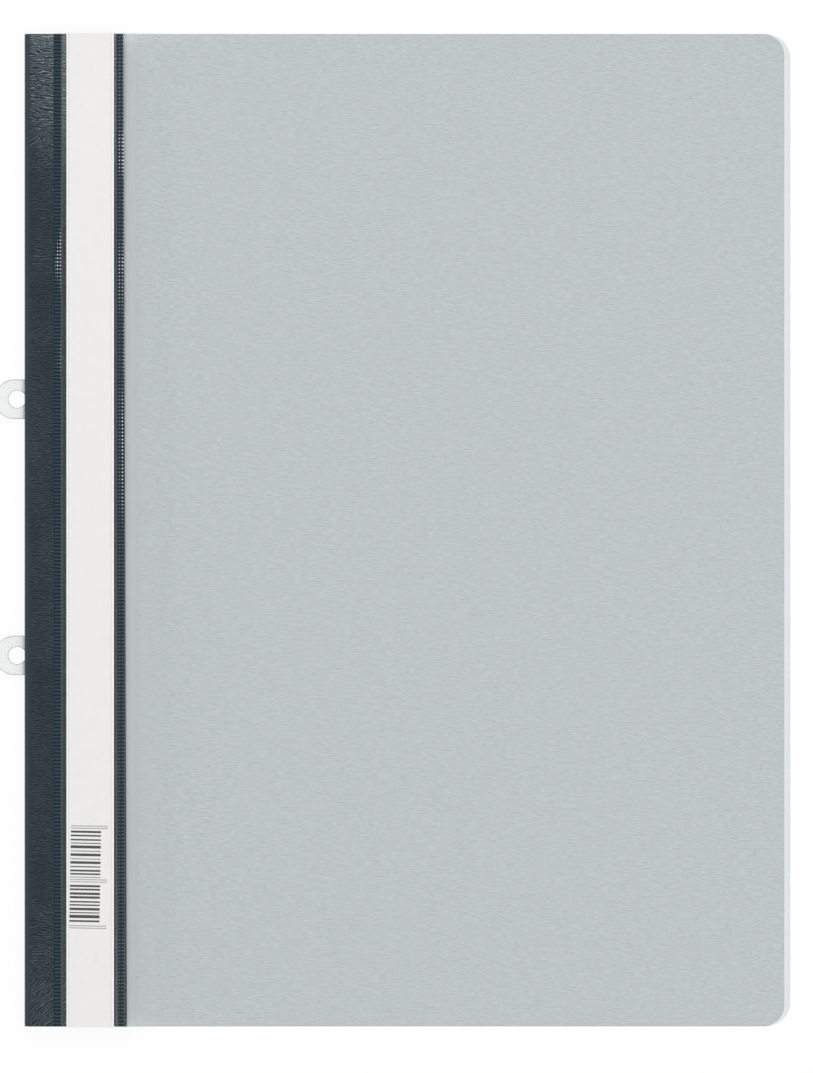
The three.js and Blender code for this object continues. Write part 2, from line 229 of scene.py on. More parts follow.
def mesh_object(name, points, quads, polygons=()):
    """An object from an array of points, an array of quads and a few larger faces. Points that
    no face uses are dropped."""
    used, compact = np.unique(
        np.concatenate([quads.ravel(), *[np.asarray(p) for p in polygons]]), return_inverse=True
    )
    points = points[used]
    starts = np.arange(len(quads)) * 4
    sizes = [len(p) for p in polygons]
    if sizes:
        ends = len(quads) * 4 + np.cumsum([0, *sizes])[:-1]
        starts = np.concatenate([starts, ends])
    mesh = bpy.data.meshes.new(name)
    mesh.vertices.add(len(points))
    mesh.vertices.foreach_set("co", points.astype(np.float32).ravel())
    mesh.loops.add(len(compact))
    mesh.loops.foreach_set("vertex_index", compact.astype(np.int32).ravel())
    mesh.polygons.add(len(starts))
    mesh.polygons.foreach_set("loop_start", starts.astype(np.int32))
    mesh.update(calc_edges=True)
    mesh.validate()
    return finished(bpy.data.objects.new(name, mesh))


def finished(piece, sharp=35):
    """Smooth shading with edges sharper than the given angle left crisp."""
    mesh = piece.data
    mesh.polygons.foreach_set("use_smooth", np.ones(len(mesh.polygons), bool))
    mesh.set_sharp_from_angle(angle=math.radians(sharp))
    if piece.name not in bpy.context.scene.collection.objects:
        bpy.context.scene.collection.objects.link(piece)
    return piece


def grid_quads(rows, columns, offset=0):
    """Quads of a grid of points, counted along its columns first, seen from its outer side."""
    i, j = np.mgrid[0 : rows - 1, 0 : columns - 1]
    corner = offset + i * columns + j
    return np.stack([corner, corner + 1, corner + columns + 1, corner + columns], axis=-1)


def walls(upper, lower, kept):
    """Quads that join two equal grids along every edge between a kept and a missing quad."""
    rows, columns = upper.shape
    padded = np.zeros((rows + 1, columns + 1), bool)
    padded[1:-1, 1:-1] = kept
    inner = padded[1:-1, 1:-1]
    made = []
    for step, first, second in (
        ((-1, 0), (0, 0), (0, 1)),
        ((0, 1), (0, 1), (1, 1)),
        ((1, 0), (1, 1), (1, 0)),
        ((0, -1), (1, 0), (0, 0)),
    ):
        beside = padded[1 + step[0] : rows + step[0], 1 + step[1] : columns + step[1]]
        i, j = np.nonzero(inner & ~beside)
        a = (i + first[0], j + first[1])
        b = (i + second[0], j + second[1])
        made.append(np.stack([lower[a], lower[b], upper[b], upper[a]], axis=-1))
    return np.concatenate(made)


def closed_sheet(name, outer, inner, kept=None):
    """A thin solid between two equal grids of points, with openings where kept is false."""
    rows, columns = outer.shape[:2]
    if kept is None:
        kept = np.ones((rows - 1, columns - 1), bool)
    upper = np.arange(rows * columns).reshape(rows, columns)
    lower = upper + rows * columns
    top = grid_quads(rows, columns)[kept]
    bottom = (grid_quads(rows, columns, rows * columns)[kept])[:, ::-1]
    points = np.concatenate([outer.reshape(-1, 3), inner.reshape(-1, 3)])
    return mesh_object(name, points, np.concatenate([top, bottom, walls(upper, lower, kept)]))


def ease(share):
    """Three t squared minus two t cubed, between 0 and 1."""
    share = np.clip(share, 0, 1)
    return share * share * (3 - 2 * share)


def heights(half, step):
    """Evenly spaced rows from -half to half, about one step apart."""
    count = int(round(2 * half / step)) + 1
    return np.linspace(-half, half, count)


def cover_rows(half, radius):
    """Heights of the rows of a cover, close together where its corners turn."""
    angles = np.linspace(0, math.pi / 2, CORNER_STEPS + 1)
    corner = half - radius + radius * np.sin(angles)
    plain = heights(half - radius, COVER_ROW)
    return np.concatenate([-corner[::-1][:-1], plain, corner[1:]])


def cover_sheet(name, start, reach, slope_start, slope, high, low, thickness, radius):
    """A cover: x runs from start to the free edge, which steps in by R - sqrt(R^2 - d^2) in a
    corner of radius R, where d is the distance past the corner's centre. The level is high
    at the spine and follows 3t^2 - 2t^3 down to low over the slope. The attribute rim is 1 on
    the free edge and falls to 0 over the last column. A second attribute holds painted light for
    the upper face: it falls from the end of the label window to 0 over 12 mm, at first steeply."""
    rows = cover_rows(HALF_HEIGHT, radius)
    past = np.clip(np.abs(rows) - (HALF_HEIGHT - radius), 0, radius)
    edge = reach - radius + np.sqrt(np.maximum(radius**2 - past**2, 0))
    near = np.linspace(0, slope_start - start, COVER_POINTS[0])[:-1]
    sloped = slope_start - start + np.linspace(0, slope, COVER_POINTS[1])[:-1]
    corner_x = reach - radius - 2 * MM - start
    plain = np.linspace(slope_start - start + slope, corner_x, COVER_POINTS[2])
    fixed = start + np.concatenate([near, sloped, plain])
    tail = np.linspace(0, 1, COVER_POINTS[3])[1:]
    x = np.concatenate(
        [
            np.broadcast_to(fixed, (len(rows), len(fixed))),
            fixed[-1] + tail[None, :] * (edge[:, None] - fixed[-1]),
        ],
        axis=1,
    )
    y = np.broadcast_to(rows[:, None], x.shape)
    z = low + (high - low) * (1 - ease((x - slope_start) / slope))
    bottom = np.stack([x, y, z], axis=-1)
    piece = closed_sheet(name, bottom + np.array([0, 0, thickness]), bottom)
    rim = np.zeros_like(x)
    rim[:, -1] = 1
    past = (x - WINDOW[1].x) / MM
    # Painted light beside the label window, kept on the upper face
    seam_light = np.clip((past + 2.5) / 2, 0, 1)
    seam_light = seam_light * (np.clip((12 - past) / 11, 0, 1) + 0.35 * np.clip(1 - past / 3.5, 0, 1))
    for key, upper, lower in (("rim", rim, rim), ("seam_light", seam_light, np.zeros_like(x))):
        values = np.concatenate([upper.ravel(), lower.ravel()]).astype(np.float32)
        piece.data.attributes.new(key, "FLOAT", "POINT").data.foreach_set("value", values)
    return piece


def spine_profile(edge_x):
    """The film's middle line: the back leg, half a turn of the fold, then the front leg."""
    half = FILM_THICKNESS / 2
    turn = FOLD_RADIUS - half
    centre = FOLD_X + FOLD_RADIUS
    back = np.linspace(edge_x, centre, FILM_POINTS[0])[:-1]
    angle = np.linspace(-math.pi / 2, -3 * math.pi / 2, FILM_POINTS[1])
    front = np.linspace(centre, edge_x, FILM_POINTS[2])[1:]
    x = np.concatenate([back, centre + turn * np.cos(angle), front])
    z = np.concatenate(
        [
            np.full(len(back), half),
            FOLD_RADIUS + turn * np.sin(angle),
            np.full(len(front), 2 * FOLD_RADIUS - half),
        ]
    )
    normal_x = np.concatenate([np.zeros(len(back)), np.cos(angle), np.zeros(len(front))])
    normal_z = np.concatenate([-np.ones(len(back)), np.sin(angle), np.ones(len(front))])
    return x, z, normal_x, normal_z, len(back), len(angle)


# Materials


class Value:
    """One socket of a node tree. Sums, products and powers of it add Math nodes."""

    def __init__(self, finish, socket):
        self.finish = finish
        self.socket = socket

    def _math(self, operation, first, second):
        return self.finish.node("ShaderNodeMath", {"operation": operation}, {0: first, 1: second})

    def __add__(self, other):
        return self._math("ADD", self, other)

    __radd__ = __add__

    def __sub__(self, other):
        return self._math("SUBTRACT", self, other)

    def __rsub__(self, other):
        return self._math("SUBTRACT", other, self)

    def __mul__(self, other):
        return self._math("MULTIPLY", self, other)

    __rmul__ = __mul__

    def __truediv__(self, other):
        return self._math("DIVIDE", self, other)

    def __pow__(self, other):
        return self._math("POWER", self, other)

    def __gt__(self, other):
        return self._math("GREATER_THAN", self, other)

    def __lt__(self, other):
        return self._math("LESS_THAN", self, other)

    def __abs__(self):
        return self._math("ABSOLUTE", self, 0)

    def at_least(self, least):
        """The greater of the value and a number."""
        return self._math("MAXIMUM", self, least)

    def cosine(self):
        """The cosine of an angle in radians."""
        return self._math("COSINE", self, 0)

    def limited(self):
        """The value, kept between 0 and 1."""
        return self.finish.node("ShaderNodeClamp", {}, {"Value": self})


class Finish:
    """A node material with one Principled shader."""

    def __init__(self, name, **plain):
        self.material = bpy.data.materials.new(name)
        self.material.use_nodes = True
        self.tree = self.material.node_tree
        self.shader = self.tree.nodes["Principled BSDF"]
        for socket, value in plain.items():
            self.set(socket.replace("_", " "), value)

    @classmethod
    def on(cls, world):
        """The same helpers for the node tree of a world."""
        finish = cls.__new__(cls)
        world.use_nodes = True
        finish.tree = world.node_tree
        return finish

    def node(self, kind, settings, inputs, output=0):
        """Adds a node, sets its settings, then its sockets, and returns one of its outputs."""
        made = self.tree.nodes.new(kind)
        for key, value in settings.items():
            setattr(made, key, value)
        for key, value in inputs.items():
            self.feed(made.inputs[key], value)
        return Value(self, made.outputs[output])

    def feed(self, socket, value):
        """Links a value to a socket, or sets the socket to a plain number or colour."""
        if isinstance(value, Value):
            self.tree.links.new(value.socket, socket)
        elif socket.type == "RGBA":
            socket.default_value = (*value, 1)
        else:
            socket.default_value = value

    def set(self, socket, value):
        """Feeds a socket of the Principled shader."""
        self.feed(self.shader.inputs[socket], value)

    def place(self, cell, turn=0.0):
        """Object coordinates counted in cells of the given size in mm, turned about Z."""
        at = self.node("ShaderNodeTexCoord", {}, {}, "Object")
        return self.node(
            "ShaderNodeMapping",
            {"vector_type": "TEXTURE"},
            {"Vector": at, "Scale": [side * MM for side in cell], "Rotation": (0, 0, turn)},
        )

    def axes(self):
        """The X and Y of Object coordinates, in millimetres."""
        at = self.node("ShaderNodeTexCoord", {}, {}, "Object")
        return [part / MM for part in self.apart(at)[:2]]

    def apart(self, vector):
        """The X, Y and Z of a vector."""
        first = self.node("ShaderNodeSeparateXYZ", {}, {0: vector})
        return [Value(self, socket) for socket in first.socket.node.outputs]

    def attribute(self, name):
        """A number that the mesh keeps at its points."""
        return self.node("ShaderNodeAttribute", {"attribute_name": name}, {}, "Fac")

    def noise(self, vector, detail, roughness=0.5):
        """Noise with one swell to each cell of the given place."""
        inputs = {"Vector": vector, "Scale": 1.0, "Detail": detail, "Roughness": roughness}
        return self.node("ShaderNodeTexNoise", {}, inputs)

    def mix(self, factor, first, second):
        """A colour between two colours."""
        inputs = {0: factor, 6: first, 7: second}
        return self.node("ShaderNodeMix", {"data_type": "RGBA"}, inputs, 2)

    def shades(self, factor, base, low, high):
        """A colour between two shades of a base colour, given as factors of it."""
        return self.mix(factor, [c * low for c in base], [c * high for c in base])

    def bump(self, height, distance, strength):
        """Raises the shader's surface by a height between 0 and 1, times a distance in metres."""
        inputs = {"Height": height, "Distance": distance, "Strength": strength}
        self.set("Normal", self.node("ShaderNodeBump", {}, inputs))


def between(value, low, high, blur):
    """1 where a value lies between two numbers, and 0 outside, with edges of the given blur."""
    rising = ((value - (low - blur / 2)) / blur).limited()
    falling = (((high + blur / 2) - value) / blur).limited()
    return rising * falling


def grey_finish(covers):
    """Grey sheet with a fine wavy emboss, and painted shade along its top and bottom cut edges."""
    finish = Finish("grey sheet", Roughness=0.5, Specular_IOR_Level=0.3)
    x, y = finish.axes()
    waves = finish.noise(finish.place((2.2, 0.48, 2.2)), 2.0)
    tone = (0.5 + (waves - 0.5) * 4.0).limited()
    base = covers.grey
    shade = finish.shades(tone, base, 0.957, 1.039)
    # Painted shade: the sheet turns darker along its top and bottom edges
    edge = ((abs(y) - (HALF_HEIGHT / MM - 0.35)) / 0.1).limited()
    finish.set("Base Color", finish.mix(edge * 0.25, shade, [c * 0.5 for c in base]))
    finish.bump(waves, 0.45 * MM, 0.9)
    return finish.material


def beyond(x, y, reach, corner, blur):
    """1 past a cover's rounded outline: (d^2 - r^2) / 2r past the corner circle, where d is the
    distance from its centre and r its radius."""
    radius = corner / MM
    right = (x - (reach - corner) / MM).at_least(0.0)
    up = (abs(y) - (HALF_HEIGHT - corner) / MM).at_least(0.0)
    past = right * right + up * up - radius * radius
    return (past / (2 * radius * blur)).limited()


def clear_finish(covers):
    """Clear sheet: a weak tint over the grey sheet, denser on its rim, with a painted shadow as a
    denser tint where it stands proud of the grey sheet, and painted light beside the label window,
    where it bends."""
    finish = Finish("clear sheet", Specular_IOR_Level=0.4, Roughness=0.15)
    x, y = finish.axes()
    # Painted shadow: a denser tint where the sheet stands proud of the grey sheet, over the floor
    shadow_past_grey = beyond(x, y, BACK_COVER[1].x, covers.grey_corner, 0.3)
    rim = ((finish.attribute("rim") - 0.65) * 5.0).limited()
    # Painted light: a pale tint beside the label window that lightens the shade falling there
    painted_seam_light = finish.attribute("seam_light") * 0.32
    alpha = covers.clear_alpha + shadow_past_grey * 0.155 + rim * 0.05 + painted_seam_light
    finish.set("Base Color", finish.mix(painted_seam_light / alpha, covers.clear, (0.8, 0.835, 0.835)))
    finish.set("Alpha", alpha)
    return finish.material


def grain_lines(finish, width, turn):
    """Wavy lines: a cosine across them, whose phase a noise shifts by a few whole waves."""
    warp = finish.noise(finish.place((3.4, 1.9, 3.4), turn), 1.5)
    across = finish.apart(finish.place((1, 1, 1), turn))[1]
    phase = across * (MM / width) + warp * 3.0
    return 0.5 + (phase * (2 * math.pi)).cosine() * 0.5


def grain_height(finish, width, height_mm):
    """Leather grain: fine wavy ridges that run nearly level, and rise to the right lower down."""
    level = grain_lines(finish, width, -0.1)
    rising = grain_lines(finish, width, 0.62)
    share = finish.noise(finish.place((14, 18, 14)), 0.0)
    share = ((share - 0.5) * 3.0 + 1.1 - abs(height_mm - RISING_ROUND) / 14.0).limited()
    share = (share + ((RISING_BELOW - height_mm) / 10.0).limited()).limited()
    gaps = finish.noise(finish.place((1.1, 0.8, 1.1), 0.3), 2.0, 0.6)
    gaps = 0.25 + ((gaps - 0.36) * 5.0).limited() * 0.75
    return (level + (rising - level) * share) ** 3.0 * gaps


def film_finish(spine):
    """Dark grained film, smooth on the fold. The grain's ridges carry a painted highlight, which
    stands out near the head, where the film also has a painted sheen and, at its top, a painted
    reflection.
    """
    finish = Finish("dark grained film", Specular_IOR_Level=0.3)
    x, y = finish.axes()
    grain = grain_height(finish, spine.grain, y)
    fold = (1.0 - (x - (FOLD_X / MM + 1.4)) / 1.0).limited()
    patches = finish.noise(finish.place((9, 14, 9)), 1.0, 0.6)
    # How strongly the painted highlight shows on the grain: most past the head mark, growing to
    # the right, more past the foot mark, and little on the fold
    head = ((y - GRAIN_HEAD) / 40.0).limited() * (0.6 + (x - FOLD_X / MM) * 0.07)
    foot = ((GRAIN_FOOT - y) / 30.0).limited()
    head_reflection = ((y - (FILM_HALF_HEIGHT / MM - 6.0)) / 5.0).limited()
    clear = (0.04 + patches * 0.16 + head * 0.75 + foot * 0.2) * (1.0 - fold * 0.9)
    base = spine.film
    shade = finish.shades(patches, base, 0.85, 1.15)
    # Painted sheen: the film is lighter near the head, off the fold
    shade = finish.mix(head * (1.0 - fold) * 0.2, shade, [c * 1.6 for c in base])
    # Painted reflection: the top few mm of the film lean toward the highlight colour
    shade = finish.mix(head_reflection * (1.0 - fold) * 0.16, shade, spine.ridge)
    shade = finish.mix(fold * 0.6, shade, [c * 1.9 for c in base])
    # Painted highlight: the grain's ridges take the highlight colour
    finish.set("Base Color", finish.mix((grain * clear).limited(), shade, spine.ridge))
    finish.set("Roughness", 0.36 + patches * 0.12)
    finish.bump(grain * clear, 0.2 * MM, 0.9)
    return finish.material


def printed_bars(finish, along):
    """A plain pattern in groups of seven modules with two bars each, that stands for no number."""
    module = along / BAR_MODULE
    group = finish.node("ShaderNodeMath", {"operation": "FLOOR"}, {0: module / 7.0})
    part = module - group * 7.0
    chance = finish.node("ShaderNodeTexWhiteNoise", {"noise_dimensions": "1D"}, {"W": group})
    other = finish.node(
        "ShaderNodeTexWhiteNoise", {"noise_dimensions": "1D"}, {"W": group + 40.0}
    )
    first = (part > 0.6) * (part < 1.3 + chance * 2.3)
    start = 4.0 + chance * 1.0
    second = (part > start) * (part < start + 0.6 + other * 1.6)
    return first + second


def card_finish(pocket):
    """White card with a few plain printed bars."""
    finish = Finish("label card", Roughness=0.62, Specular_IOR_Level=0.3)
    x, y = finish.axes()
    fibres = finish.noise(finish.place((1.6, 2.2, 1.6)), 1.0, 0.6)
    paper = finish.shades(fibres, pocket.card, 0.975, 1.025)
    across = (x - (FOLD_X / MM + PRINT_SHIFT)) + (y - PRINT_MIDDLE) * PRINT_TURN[0]
    along = y + across * PRINT_TURN[1]
    bars = printed_bars(finish, along)
    bars = bars * between(across, *BARS_ACROSS, 0.1) * between(along, *BARS_ALONG, 0.1)
    bars = bars * (1.0 - between(along, *BARS_GAP, 0.1))
    guards = 0.0
    for low in GUARDS:
        guards = guards + between(along, low, low + GUARD_WIDTH, 0.1)
    guards = guards * between(across, *GUARDS_ACROSS, 0.1) * 0.6
    finish.set("Base Color", finish.mix((bars + guards).limited() * 0.95, paper, pocket.ink))
    finish.bump(fibres, 0.03 * MM, 0.5)
    return finish.material


def seam_glints(finish, across, y, pitch):
    """Painted glints: bright points on the ribs, in columns, where the seam lies flat enough to
    catch light.
    """
    crest = (0.5 + (y * (2 * math.pi / pitch)).cosine() * 0.5) ** 4.0
    total = 0.0
    for column, least, bands in GLINTS:
        lit = least
        for middle, half, strength in bands:
            lit = lit + ((1.5 - abs(y - middle) * (1.5 / half)).limited() * strength)
        total = total + between(across, column - GLINT_HALF, column + GLINT_HALF, 0.16) * lit
    return crest * total


def window_finish(pocket, spine, seams):
    """Clear film that is fused to the dark film in its two seams, where it looks dark itself. On
    the seams' ribs it has painted light and shade and painted glints, over the label's edges
    painted highlights, and near the head a painted sheen.
    """
    finish = Finish("window film", Specular_IOR_Level=0.3)
    x, y = finish.axes()
    across = x - FOLD_X / MM
    pitch = pocket.rib_pitch / MM
    fused = between(across, *seams[0], 0.25) + between(across, *seams[1], 0.25)
    share = (y + FILM_HALF_HEIGHT / MM) / (2 * FILM_HALF_HEIGHT / MM)
    film_edge = (FILM_EDGE_X - FOLD_X + spine.foot_shift) / MM
    film_edge = film_edge + share * ((spine.head_shift - spine.foot_shift) / MM)
    fused = fused.limited() * ((film_edge - across) / 0.15).limited()
    fused = fused * ((FILM_HALF_HEIGHT / MM - abs(y)) / 0.1).limited()
    head = ((y - 96.0) / 36.0).limited()
    rib = 0.5 + (y * (2 * math.pi / pitch)).cosine() * 0.5
    # Painted light and shade on the ribs: the fused colour runs from darker to lighter than the
    # film with each rib
    dark = finish.shades(rib, spine.film, 0.8, 1.9)
    uneven = finish.noise(finish.place((3, 6, 3)), 0.0)
    # Painted glints on the ribs, made uneven by a noise
    glint = (seam_glints(finish, across, y, pitch) * (0.3 + uneven * 1.4)).limited()
    # Painted highlights where the film bends over the label's two edges
    edge_highlight = between(across, *LABEL_EDGE_HIGHLIGHTS[0], 0.15) + between(across, *LABEL_EDGE_HIGHLIGHTS[1], 0.15)
    shade = finish.mix(fused, pocket.window, dark)
    shade = finish.mix(edge_highlight.limited(), shade, (1.0, 1.0, 1.0))
    finish.set("Base Color", finish.mix(glint, shade, (0.9, 0.9, 0.9)))
    outside = 1.0 - between(across, *OVER_LABEL, 0.3)
    # Painted sheen near the head: outside the label the tint grows denser, rippled with the ribs
    tint_and_head_sheen = pocket.window_alpha + head * outside * (0.03 + rib * 0.06)
    finish.set("Alpha", (tint_and_head_sheen + fused * 0.95 + edge_highlight + glint).limited())
    finish.set("Roughness", 0.28 - fused * 0.08)
    return finish.material


def strip_finish(filing):
    """Clear filing strip, with the grey line of its cut edge round each tab and each hole. Past
    the middle of a tab's round end, from_end is the distance from that middle, and before it,
    the distance from the tab's middle line."""
    finish = Finish("clear strip", Specular_IOR_Level=0.5, Roughness=0.18)
    x, y = finish.axes()
    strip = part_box("filing_strip")
    middle = (strip[0].y + strip[1].y) / (2 * MM)
    off = abs(abs(y - middle) - HOLE_SPACING / (2 * MM))
    hole = x - (FOLD_X - HOLE_OUT) / MM
    end = x - (FOLD_X - TAB_END_OUT) / MM
    from_hole = (hole * hole + off * off) ** 0.5
    end = (abs(end) - end) * 0.5
    from_end = (end * end + off * off) ** 0.5
    outside = ((FOLD_X / MM - x) / 0.3).limited()
    rim = HOLE_RADIUS / MM
    line = between(from_hole, rim - 0.05, rim + 0.15, 0.08)
    rim = TAB_END_RADIUS / MM
    line = line + between(from_end, rim - 0.05, rim + 0.2, 0.1) * outside
    shadow = between(x, FOLD_X / MM - 0.7, FOLD_X / MM + 0.5, 0.7)
    cloud = finish.noise(finish.place((11, 11, 11)), 2.0)
    body = finish.shades(cloud, filing.strip, 0.95, 1.04)
    body = finish.mix(shadow * 0.6, body, (0.38, 0.40, 0.41))
    finish.set("Base Color", finish.mix(line.limited(), body, (0.30, 0.32, 0.33)))
    finish.set("Alpha", filing.strip_alpha + shadow * 0.2 + line.limited() * 0.32)
    return finish.material


def steel_finish(filing):
    """Plated steel band with fine drawing lines along its length."""
    finish = Finish("plated steel", Metallic=1.0)
    lines = finish.noise(finish.place((0.11, 11, 0.11)), 2.0, 0.6)
    finish.set("Base Color", finish.shades(lines, filing.steel, 0.88, 1.08))
    finish.set("Roughness", lines * 0.16 + 0.2)
    finish.bump(lines, 0.01 * MM, 0.4)
    return finish.material


def bar_finish(filing):
    """Moulded plastic bar with a light satin texture."""
    finish = Finish("moulded bar", Specular_IOR_Level=0.45)
    satin = finish.noise(finish.place((0.33, 0.33, 0.33)), 2.0, 0.6)
    flow = finish.noise(finish.place((8, 50, 8)), 2.0)
    finish.set("Base Color", finish.shades(flow, filing.bar, 0.96, 1.03))
    finish.set("Roughness", satin * 0.12 + 0.32)
    finish.bump(satin, 0.01 * MM, 0.4)
    return finish.material


def dressed_copy(node, name, edge):
    """The CAD solid as one merged mesh, with its flat faces joined and its edges rounded."""
    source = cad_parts[node]
    mesh = source.data.copy()
    mesh.name = name
    mesh.materials.clear()
    work = bmesh.new()
    work.from_mesh(mesh)
    bmesh.ops.remove_doubles(work, verts=work.verts, dist=1e-7)
    bmesh.ops.dissolve_limit(
        work, angle_limit=math.radians(0.5), verts=work.verts, edges=work.edges
    )
    work.to_mesh(mesh)
    work.free()
    piece = bpy.data.objects.new(name, mesh)
    bevel = piece.modifiers.new("rounded edge", "BEVEL")
    bevel.width = edge
    bevel.segments = 2
    bevel.limit_method = "ANGLE"
    bevel.angle_limit = math.radians(40)
    bevel.harden_normals = False
    return finished(piece, 50)


# Operators


class FOLDER_OT_grey_cover(bpy.types.Operator):
    """Builds the grey back cover"""

    bl_idname = "folder.grey_cover"
    bl_label = "Grey back cover"

    def execute(self, context):
        covers = context.scene.folder_covers
        piece = cover_sheet(
            "grey_back_cover",
            BACK_COVER[0].x,
            BACK_COVER[1].x,
            FILM_EDGE_X + 0.4 * MM,
            covers.grey_slope,
            BACK_COVER[1].z - covers.grey_thickness,
            BACK_COVER[0].z,
            covers.grey_thickness,
            covers.grey_corner,
        )
        piece.data.materials.append(grey_finish(covers))
        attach(piece, "back")
        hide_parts("back_cover")
        return {"FINISHED"}


class FOLDER_OT_clear_cover(bpy.types.Operator):
    """Builds the clear front cover"""

    bl_idname = "folder.clear_cover"
    bl_label = "Clear front cover"

    def execute(self, context):
        covers = context.scene.folder_covers
        piece = cover_sheet(
            "clear_front_cover",
            FRONT_COVER[0].x,
            FRONT_COVER[1].x,
            WINDOW[1].x,
            covers.clear_slope,
            FRONT_COVER[1].z - covers.clear_thickness,
            FRONT_COVER[0].z,
            covers.clear_thickness,
            covers.clear_corner,
        )
        piece.data.materials.append(clear_finish(covers))
        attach(piece, "front")
        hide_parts("front_cover")
        return {"FINISHED"}


class FOLDER_OT_spine_film(bpy.types.Operator):
    """Builds the folded spine film, with its two tab slots, as one sheet"""

    bl_idname = "folder.spine_film"
    bl_label = "Spine film"

    def execute(self, context):
        spine = context.scene.folder_spine
        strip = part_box("filing_strip")
        middle = (strip[0].y + strip[1].y) / 2
        slots = [middle + side * HOLE_SPACING / 2 for side in (-1, 1)]
        edges = [y + side * SLOT_HALF for y in slots for side in (-1, 1)]
        rows = np.unique(np.concatenate([heights(FILM_HALF_HEIGHT, 2 * MM), edges]))
        x, z, normal_x, normal_z, back, turn = spine_profile(FILM_EDGE_X)
        half = FILM_THICKNESS / 2
        share = (rows + FILM_HALF_HEIGHT) / (2 * FILM_HALF_HEIGHT)
        shift = spine.foot_shift + (spine.head_shift - spine.foot_shift) * share
        pull = np.zeros_like(x)
        pull[back + turn :] = ease((x[back + turn :] - (FILM_EDGE_X - 3 * MM)) / (3 * MM))
        middle_x = x[None, :] + shift[:, None] * pull[None, :]
        y = np.broadcast_to(rows[:, None], middle_x.shape)
        grids = []
        for side in (1, -1):
            grids.append(
                np.stack(
                    [
                        middle_x + side * half * normal_x[None, :],
                        y,
                        np.broadcast_to(z + side * half * normal_z, middle_x.shape),
                    ],
                    axis=-1,
                )
            )
        kept = np.ones((len(rows) - 1, len(x) - 1), bool)
        row_mid = (rows[:-1] + rows[1:]) / 2
        column_z = (z[:-1] + z[1:]) / 2
        column_x = (x[:-1] + x[1:]) / 2
        slot_low = strip[0].z - 0.1 * MM
        slot_high = strip[0].z + 0.7 * MM
        in_fold = column_x < FOLD_X + FOLD_RADIUS
        in_fold &= (column_z > slot_low) & (column_z < slot_high)
        for y_slot in slots:
            kept[np.ix_(np.abs(row_mid - y_slot) < SLOT_HALF, in_fold)] = False
        piece = closed_sheet("spine_film", grids[0], grids[1], kept)
        piece.data.materials.append(film_finish(spine))
        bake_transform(piece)
        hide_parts("spine_film_back", "spine_film_front")
        return {"FINISHED"}


